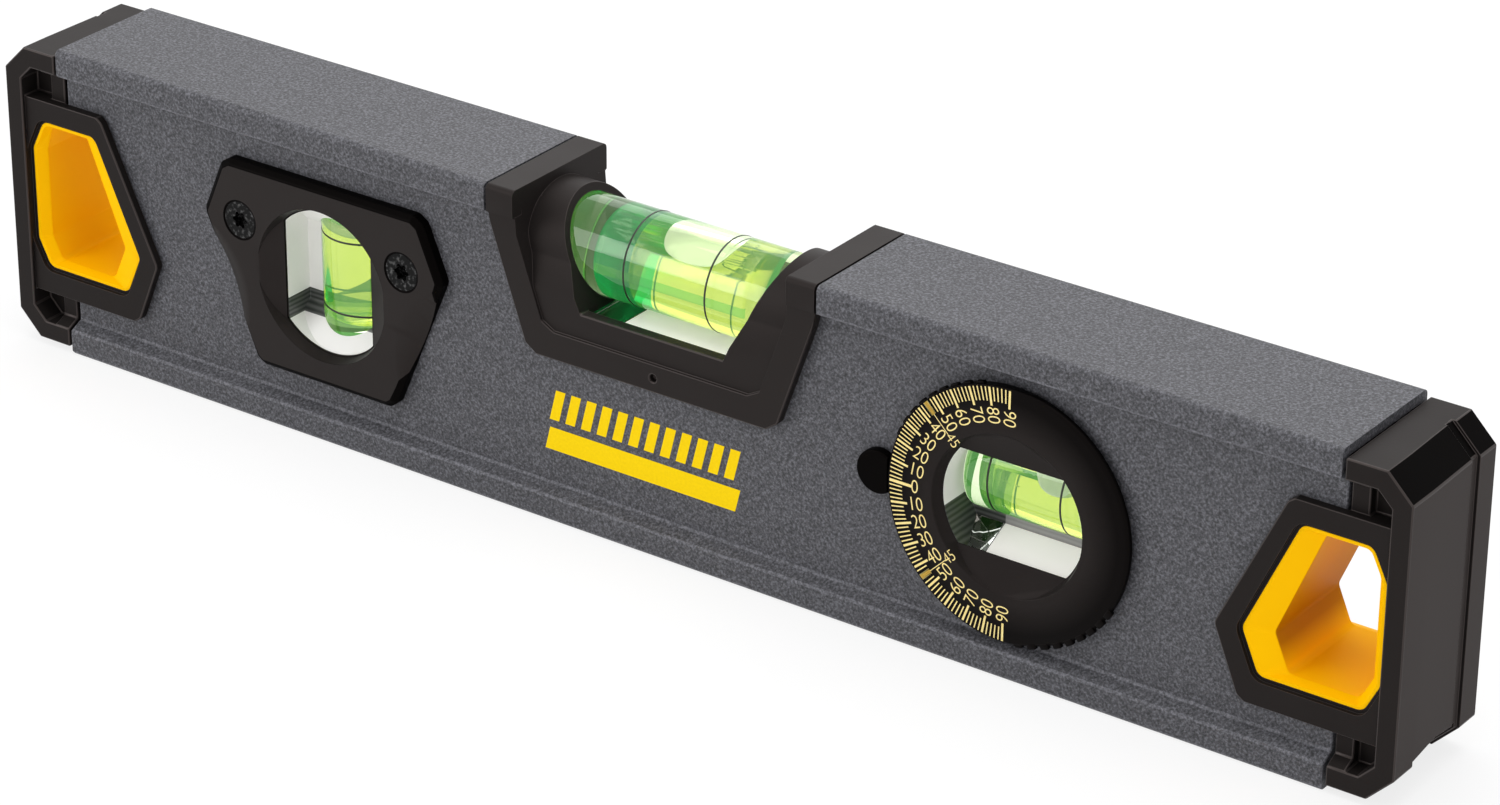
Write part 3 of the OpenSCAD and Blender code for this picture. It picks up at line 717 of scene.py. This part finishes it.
# Reflectors and carriers: white plastic behind and under the vials, with a painted glow that lights the
# liquid from within.
# The clear blocks beside them are moulded in the acrylic of the vials.
RIB_STEP = 0.75 * MM
RIB_WANDER = 3.0
POCKET_END = 3.4 * MM
PLUMB_SHADE = (18.0 * MM, 21.4 * MM)
DIAL_SHADE_UNDER = 23.3 * MM
DIAL_CORNER = 57.0 * MM
HALF_SHADE = 0.75


def white_plastic(name, glow, shaded=None):
    """White plastic with a painted glow, for the light it gets through the vial. Where shaded(place) is 1 it
    is painted dark as shade, and ribbed.
    """
    material, place = new_material(name)
    tone = place.noise(200.0)
    colour = tone.blend((0.82, 0.82, 0.79), (0.88, 0.87, 0.84))
    light = tone.blend((0.95 * glow, 0.84 * glow, 0.86 * glow), (1.05 * glow, 0.92 * glow, 0.92 * glow))
    if shaded:
        shadow = shaded(place)
        waves = place.axis("Z") * (2 * math.pi / RIB_STEP) + tone * RIB_WANDER
        ribs = waves.sine().ramp(-1.0, 1.0).blend((0.03, 0.034, 0.03), (0.12, 0.125, 0.118))
        colour = shadow.blend(colour, ribs)
        light = shadow.blend(light, BLACK)
    finish_material(place, {"Base Color": colour, "Roughness": 0.3 + tone * 0.1, "Emission Color": light,
                            "Emission Strength": 1.0})
    return material


def plumb_shade(place):
    """The lower end of the drum's side walls, and the middle behind the vial."""
    return between(place.axis("Z"), PLUMB_SHADE) | (abs(place.axis("Y")) < POCKET_END)


def dial_shade(place):
    """1 in the lower left corner of the drum's opening, and a half shade in the rest of its lower part."""
    corner = place.axis("X") < DIAL_CORNER
    return (place.axis("Z") < DIAL_SHADE_UNDER) * (corner * (1 - HALF_SHADE) + HALF_SHADE)


white = white_plastic("white_plastic", 0.25)
plumb_white = white_plastic("plumb_drum_plastic", 0.06, plumb_shade)
dial_white = white_plastic("dial_drum_plastic", 0.12, dial_shade)
for name, node, slot, material, body in (
        ("level_reflector", "level_strip", "white_plastic", white, "body"),
        ("level_clear_seat", "level_block", "clear_acrylic", acrylic, "body"),
        ("plumb_drum", "plumb_carrier", "white_plastic", plumb_white, "body"),
        ("dial_drum", "dial_carrier", "white_plastic", dial_white, "dial"),
        ("angle_reflector", "angle_strip", "white_plastic", white, "dial"),
        ("angle_clear_seat", "angle_block", "clear_acrylic", acrylic, "dial")):
    piece = take_shape(name, node)
    give(piece, material)
    soften(piece, 0.12 * MM)
    place_piece(piece, slot, node, body=body)

# Plumb bezels: glossier black plates, one on each face, that clamp the plumb vial's drum between them.
# Two long steel screws with six-lobed sockets go in at the front, through the beam and into the rear plate.
BEZEL_DISH = 13.6 * MM
BEZEL_FACING = 0.85
bezel_black = black_plastic("bezel_black", 0.011, 0.36, 0.4 * MM)
# A near black, which paints shade on the bezels' rounds and sloping border; the dial's bush and pointers are
# in it too.
near_black = black_plastic("near_black_plastic", 0.0015, 0.3, 0.4 * MM, 0.02)
for side in ("front", "rear"):
    bezel = take_shape("plumb_plate_" + side, "plumb_bezel_" + side)
    give(bezel, bezel_black, near_black)
    soften(bezel, 0.4 * MM, paint_edges=True)
    # The sloping border outside the dish is painted near black, as shade.
    for face in bezel.data.polygons:
        around = math.hypot(face.center.x - PLUMB.x, face.center.z - PLUMB.z)
        if abs(face.normal.y) < BEZEL_FACING and around > BEZEL_DISH:
            face.material_index = 1
    place_piece(bezel, "black_plastic", "plumb_bezel_" + side)
steel, place = new_material("screw_steel")
grain = place.noise(1500.0)
# The pale speckles are painted glints.
glints = grain.ramp(0.52, 0.78)
finish_material(place, {"Base Color": glints.blend((0.008, 0.008, 0.008), (0.14, 0.14, 0.14)),
                        "Roughness": 0.28 + grain * 0.15, "Metallic": 0.85, "Specular IOR Level": 0.2})
screws = take_shape("plate_screws", "plumb_screws")
give(screws, steel)
soften(screws, 0.1 * MM)
place_piece(screws, "screw_steel", "plumb_screws")

# Dial: a black bush set in the beam, and a drum in it that turns between two faces of black plastic.
# The faces are pressed on the drum, their rim stands over the beam's web, and a pointer sits beside each.
for name, node in (("dial_bush_ring", "dial_bush"), ("dial_pointer_pair", "dial_pointers")):
    piece = take_shape(name, node)
    give(piece, near_black)
    soften(piece, 0.3 * MM)
    place_piece(piece, "black_plastic", node)

DIAL_RADIUS = 19.8 * MM
DIAL_FRONT = 11.37 * MM
DIAL_RIM_BACK = 10.1 * MM
DIAL_BACK = 9.5 * MM
DIAL_NECK = 17.0 * MM
RIM_ROUND = 0.7 * MM
RIM_SHADE = (13.5 * MM, 18.0 * MM)
RING_INNER = 16.4 * MM
RING_SLOPE = 0.45 * MM
PRINTED_RIM_SHARE = 0.15
DISH_RADIUS = 12.5 * MM
DISH_BOTTOM = 9.6 * MM
DISH_EDGE_SHARE = 0.25
WINDOW_RADIUS = 11.7 * MM
WINDOW_HALF = 7.5 * MM
WINDOW_CUT = (7.0 * MM, 13.0 * MM)
OVERCUT = 0.1 * MM
NEAR = 0.01 * MM
CUT_WELD = 1e-7
BLANK_FROM = -0.12
BLANK_SPAN = 0.5


def towards_rim(place):
    """0 in the middle of the dial, rising to 1 at its rim, where the face is painted dark as shade."""
    across = place.axis("X") - DIAL.x
    height = place.axis("Z") - DIAL.z
    return ((across * across + height * height) ** 0.5).ramp(*RIM_SHADE)


def trim(piece, point, outward):
    """Cuts the piece off beyond a plane and closes the cut."""
    hold(piece)
    bpy.ops.object.mode_set(mode="EDIT")
    bpy.ops.mesh.select_all(action="SELECT")
    bpy.ops.mesh.bisect(plane_co=point, plane_no=outward, use_fill=True, clear_outer=True, threshold=CUT_WELD)
    bpy.ops.object.mode_set(mode="OBJECT")


def select_faces(piece, test):
    """Opens the piece in edit mode, with only the faces selected whose normal passes the test."""
    hold(piece)
    bpy.ops.object.mode_set(mode="EDIT")
    bpy.ops.mesh.select_all(action="DESELECT")
    bpy.ops.object.mode_set(mode="OBJECT")
    for face in piece.data.polygons:
        face.select = test(face.normal)
    bpy.ops.object.mode_set(mode="EDIT")


def blank_side(point):
    """0 on the printed half of the dial, rising to 1 on the blank half."""
    share = min(max((point.x / math.hypot(point.x, point.z) - BLANK_FROM) / BLANK_SPAN, 0), 1)
    return share * share * (3 - 2 * share)


def dial_disc(name):
    """A disc with a neck behind it, whose ring slopes back on the blank half."""
    middle = DIAL + Vector((0, -(DIAL_FRONT + DIAL_RIM_BACK) / 2, 0))
    disc = bar(name, DIAL_RADIUS, (DIAL_FRONT - DIAL_RIM_BACK) / 2, middle, "Y", sides=180)
    select_faces(disc, lambda normal: normal.y > 0.9)
    bpy.ops.mesh.inset(thickness=DIAL_RADIUS - DIAL_NECK, depth=0)
    bpy.ops.mesh.extrude_region_move(TRANSFORM_OT_translate={"value": (0, DIAL_RIM_BACK - DIAL_BACK, 0)})
    bpy.ops.object.mode_set(mode="OBJECT")
    select_faces(disc, lambda normal: normal.y < -0.9)
    bpy.ops.mesh.inset(thickness=DIAL_RADIUS - RING_INNER, depth=0)
    bpy.ops.object.mode_set(mode="OBJECT")
    for corner in disc.data.vertices:
        point = corner.co - DIAL
        if point.y < NEAR - DIAL_FRONT and math.hypot(point.x, point.z) > DIAL_RADIUS - NEAR:
            corner.co.y += RING_SLOPE * blank_side(point)
    return disc


def cut_dish_and_window(face):
    """Cuts the window through the face, and the dish that leads to it, both flat above and below."""
    dish_depth = DIAL_FRONT - DISH_BOTTOM
    bpy.ops.mesh.primitive_cone_add(vertices=128, radius1=DISH_RADIUS, radius2=WINDOW_RADIUS + OVERCUT,
                                    depth=dish_depth + 2 * OVERCUT, rotation=(-math.pi / 2, 0, 0),
                                    location=DIAL - Vector((0, (DIAL_FRONT + DISH_BOTTOM + OVERCUT) / 2, 0)))
    dish = bpy.context.active_object
    apply_place(dish)
    for side in (-1, 1):
        outward = Vector((0, DISH_RADIUS - WINDOW_HALF, side * dish_depth))
        trim(dish, DIAL + Vector((0, -DIAL_FRONT, side * DISH_RADIUS)), outward.normalized())
    combine(face, dish)
    near, far = WINDOW_CUT
    window = bar("window", WINDOW_RADIUS, (far - near) / 2, DIAL - Vector((0, (near + far) / 2, 0)), "Y")
    for side in (-1, 1):
        trim(window, DIAL + Vector((0, 0, side * WINDOW_HALF)), Vector((0, 0, side)))
    combine(face, window)


def round_dial_face(face):
    """Rounds the front rim, broadly on the blank half, and the edges of the dish a little."""
    weights = face.data.attributes.new("bevel_weight_edge", "FLOAT", "EDGE")
    for edge in face.data.edges:
        ends = [face.data.vertices[corner].co - DIAL for corner in edge.vertices]
        radii = [math.hypot(end.x, end.z) for end in ends]
        hindmost = max(end.y for end in ends)
        if hindmost < -DIAL_RIM_BACK - NEAR and min(radii) > DIAL_RADIUS - NEAR:
            share = PRINTED_RIM_SHARE + (1 - PRINTED_RIM_SHARE) * blank_side(ends[0] + ends[1])
            weights.data[edge.index].value = share
        elif hindmost < NEAR - DIAL_FRONT and max(radii) < DISH_RADIUS + NEAR:
            weights.data[edge.index].value = DISH_EDGE_SHARE
    bevel_by_weight(face, RIM_ROUND, 6)


GRIP_STEP = math.radians(6.5)
GRIP_STARTS = (math.radians(105), math.radians(277))
GRIP_COUNT = 9
GRIP_SIZE = (1.0 * MM, 0.8 * MM, 1.45 * MM)
GRIP_SINK = 0.15 * MM
GRIP_Y = -10.68 * MM
GRIP_ROUND = 0.34 * MM


def turn_on_dial(piece, angle):
    """Takes a piece that was made along X from the origin to its angle on the dial."""
    piece.data.transform(Matrix.Translation(DIAL) @ Matrix.Rotation(-angle, 4, "Y"))


def mirror_to_rear(piece):
    """Turns a piece that was made for the front face into its twin for the rear one."""
    piece.data.transform(Matrix.Scale(-1, 4, (0, 1, 0)))
    piece.data.flip_normals()


def grip_bumps():
    """The small bumps for the thumb, in two rows on the rim."""
    bumps = []
    for start in GRIP_STARTS:
        for index in range(GRIP_COUNT):
            bump = block(GRIP_SIZE, (DIAL_RADIUS - GRIP_SINK, GRIP_Y, 0))
            soften(bump, GRIP_ROUND)
            turn_on_dial(bump, start + index * GRIP_STEP)
            bumps.append(bump)
    return join("grip_bumps", bumps)


# The faces are painted darker towards the rim, as shade.
dial_black = black_plastic("dial_black", 0.015, 0.36, 0.3 * MM, 0.06, towards_rim)
front_face = dial_disc("dial_face_plate_front")
cut_dish_and_window(front_face)
round_dial_face(front_face)
combine(front_face, grip_bumps(), "UNION")
smooth(front_face, 32)
give(front_face, dial_black)
rear_face = new_object("dial_face_plate_rear", front_face.data.copy())
mirror_to_rear(rear_face)
place_piece(front_face, "black_plastic", "dial_face_front", body="dial")
place_piece(rear_face, "black_plastic", "dial_face_rear", body="dial")

# Dial scale: a tick every 2 degrees and numbers up to 90 both ways from 0, printed in pale gold.
# The 45 degree places have a long line, a number further in and a broad amber bar.
PRINT_LIFT = 0.02 * MM
TICK_OUTER = 19.55 * MM
TENS_RADIUS = 15.3 * MM
TENS_SIZE = 3.0 * MM
HALF_RIGHT_RADIUS = 12.95 * MM
HALF_RIGHT_SIZE = 2.5 * MM
LETTER_THINNING = 0.03 * MM
LETTER_NARROWING = 0.86


def printed(name, dark, light):
    material, place = new_material(name)
    finish_material(place, {"Base Color": place.noise(2500.0).blend(dark, light), "Roughness": 0.4,
                            "Specular IOR Level": 0.3})
    return material


def tick_size(degree):
    """How far a tick reaches in from the rim, and its width: most at 0, and more at the tens."""
    if degree == 0:
        return 3.7 * MM, 0.44 * MM
    if degree % 10 == 0:
        return 2.8 * MM, 0.34 * MM
    return 2.1 * MM, 0.19 * MM


def tick(degree, reach, width):
    """A printed line on the front face, along the radius."""
    inner = TICK_OUTER - reach
    line = block((TICK_OUTER - inner, PRINT_LIFT, width), ((inner + TICK_OUTER) / 2, -DIAL_FRONT, 0))
    turn_on_dial(line, math.pi + math.radians(degree))
    return line


def number(text, degree, radius, size, side):
    """A printed number that reads along the radius, on the front (-1) or the rear (1) face."""
    bpy.ops.object.text_add()
    letters = bpy.context.active_object
    letters.data.body = text
    letters.data.size = size
    letters.data.align_x = "CENTER"
    letters.data.align_y = "CENTER"
    letters.data.extrude = PRINT_LIFT / 2
    letters.data.offset = -LETTER_THINNING
    hold(letters)
    bpy.ops.object.convert(target="MESH")
    angle = math.pi + math.radians(degree)
    along = Vector((math.cos(angle), 0, math.sin(angle))) * side
    outward = Vector((0, side, 0))
    up = outward.cross(along)
    turn = Matrix((along, up, outward)).transposed().to_4x4()
    spot = DIAL + Vector((math.cos(angle) * radius, side * DIAL_FRONT, math.sin(angle) * radius))
    narrowing = Matrix.Scale(LETTER_NARROWING, 4, (1, 0, 0))
    letters.data.transform(Matrix.Translation(spot) @ turn @ narrowing)
    return letters


pale_gold = printed("print_pale_gold", (0.84, 0.62, 0.20), (1.0, 0.86, 0.38))
amber = printed("print_amber", (0.74, 0.44, 0.05), (0.95, 0.62, 0.10))
for side, face_name in ((-1, "front"), (1, "rear")):
    marks = [tick(degree, *tick_size(degree)) for degree in range(-90, 91, 2)]
    marks += [tick(degree, 5.6 * MM, 0.12 * MM) for degree in (-45, 45)]
    bars = [tick(degree, 2.1 * MM, 0.75 * MM) for degree in (-45, 45)]
    if side == 1:
        for mark in marks + bars:
            mirror_to_rear(mark)
    for ten in range(0, 100, 10):
        for degree in sorted({-ten, ten}):
            marks.append(number(str(ten), degree, TENS_RADIUS, TENS_SIZE, side))
    for degree in (-45, 45):
        marks.append(number("45", degree, HALF_RIGHT_RADIUS, HALF_RIGHT_SIZE, side))
    scale = join("dial_scale_" + face_name, marks)
    give(scale, pale_gold)
    place_piece(scale, "yellow_plastic", body="dial")
    bars = join("dial_half_right_angle_bars_" + face_name, bars)
    give(bars, amber)
    place_piece(bars, "yellow_plastic", body="dial")
